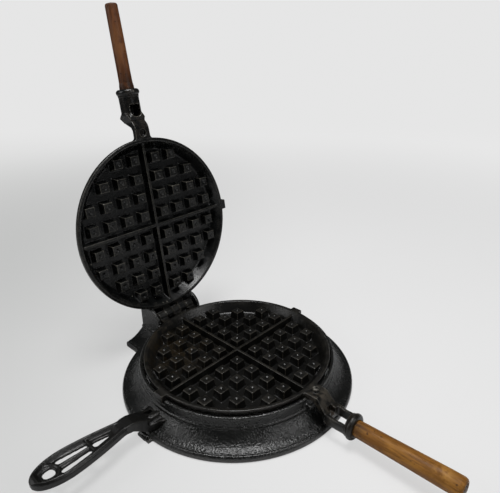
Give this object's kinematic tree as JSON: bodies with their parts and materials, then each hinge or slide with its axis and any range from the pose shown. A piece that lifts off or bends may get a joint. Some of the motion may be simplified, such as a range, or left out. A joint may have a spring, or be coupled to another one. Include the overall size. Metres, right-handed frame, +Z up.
{
  "type": "stovetop waffle iron",
  "caption": "Cast-iron stovetop waffle iron: two hinged round waffle plates with wooden grips, set in a low flared stove base with its own pierced side handle.",
  "frame": {"origin": "middle of the round foot of the base, on the stove top", "axes": "+X from the hinge towards the wooden grips, +Y along the hinge pin away from the base handle, +Z up from the stove top"},
  "size_m": [0.4103, 0.3395, 0.3626],
  "materials": {
    "base_iron": "rough cast, satin with old seasoning",
    "handle_iron": "rough cast, satin with old seasoning",
    "lower_plate_iron": "seasoned, satin, brownish in places",
    "upper_plate_iron": "seasoned, satin",
    "pin_steel": "dull, dark",
    "lower_grip_wood": "worn ochre brown, charred at the ends",
    "upper_grip_wood": "dark reddish brown, charred at the yoke",
    "bolt_steel": "rusty",
    "nut_steel": "rusty",
    "washer_steel": "worn bright"
  },
  "bodies": {
    "base": {"base_ring": "base_iron", "base_handle": "handle_iron"},
    "lower_paddle": {"lower_plate": "lower_plate_iron", "hinge_pin": "pin_steel", "lower_grip": "lower_grip_wood", "lower_grip_bolt": "bolt_steel", "lower_grip_nut": "nut_steel", "lower_grip_washer": "washer_steel"},
    "upper_paddle": {"upper_plate": "upper_plate_iron", "upper_grip": "upper_grip_wood", "upper_grip_bolt": "bolt_steel", "upper_grip_nut": "nut_steel", "upper_grip_washer": "washer_steel"}
  },
  "joints": [
    {"name": "paddle_lift", "type": "slide", "parent": "base", "child": "lower_paddle", "axis": [0, 0, 1], "range_m": [0, 0.1]},
    {"name": "plate_hinge", "type": "hinge", "parent": "lower_paddle", "child": "upper_paddle", "pos_m": [-0.1048, 0, 0.0344], "axis": [0, 1, 0], "range_deg": [0, 97.6]}
  ]
}
